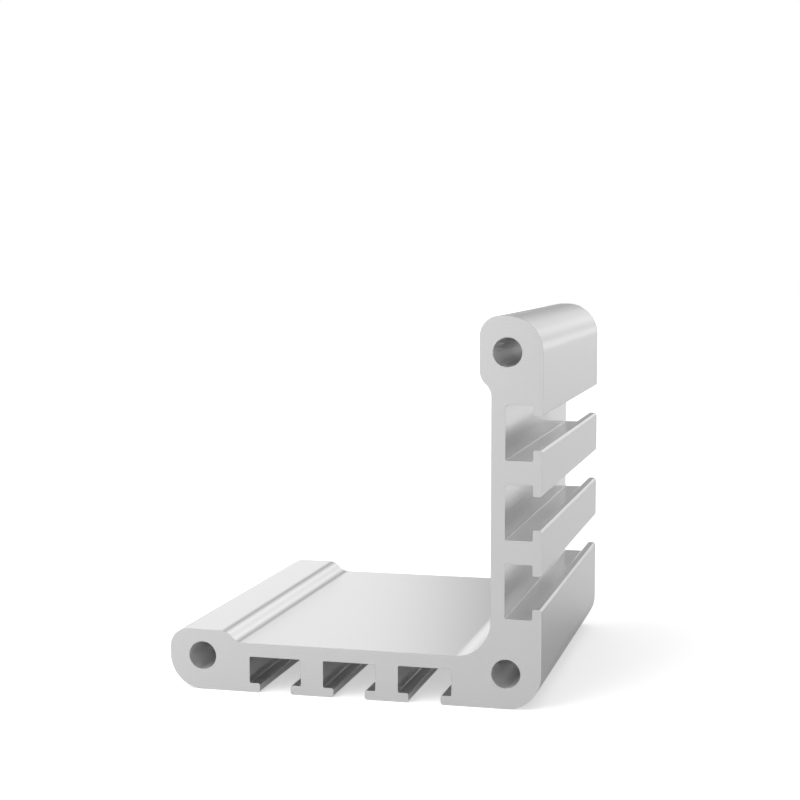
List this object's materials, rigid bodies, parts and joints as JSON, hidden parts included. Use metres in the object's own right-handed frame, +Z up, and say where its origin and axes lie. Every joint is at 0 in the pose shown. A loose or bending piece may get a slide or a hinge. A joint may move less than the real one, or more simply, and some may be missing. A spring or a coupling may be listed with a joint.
{
  "type": "t-slot angle profile",
  "caption": "Equal-leg aluminium angle extrusion with T-slots along its outer faces and a screw bore through each rounded boss.",
  "frame": {"origin": "middle of the bounding box's bottom face, on the outer face of the leg that lies flat", "axes": "+X towards the outer face of the upright leg, +Y along the extrusion away from the viewer, +Z up"},
  "size_m": [0.099, 0.1, 0.099],
  "materials": {
    "aluminium": "natural satin extrusion with sawn ends"
  },
  "bodies": {
    "root": {"angle_profile": "aluminium"}
  },
  "joints": []
}
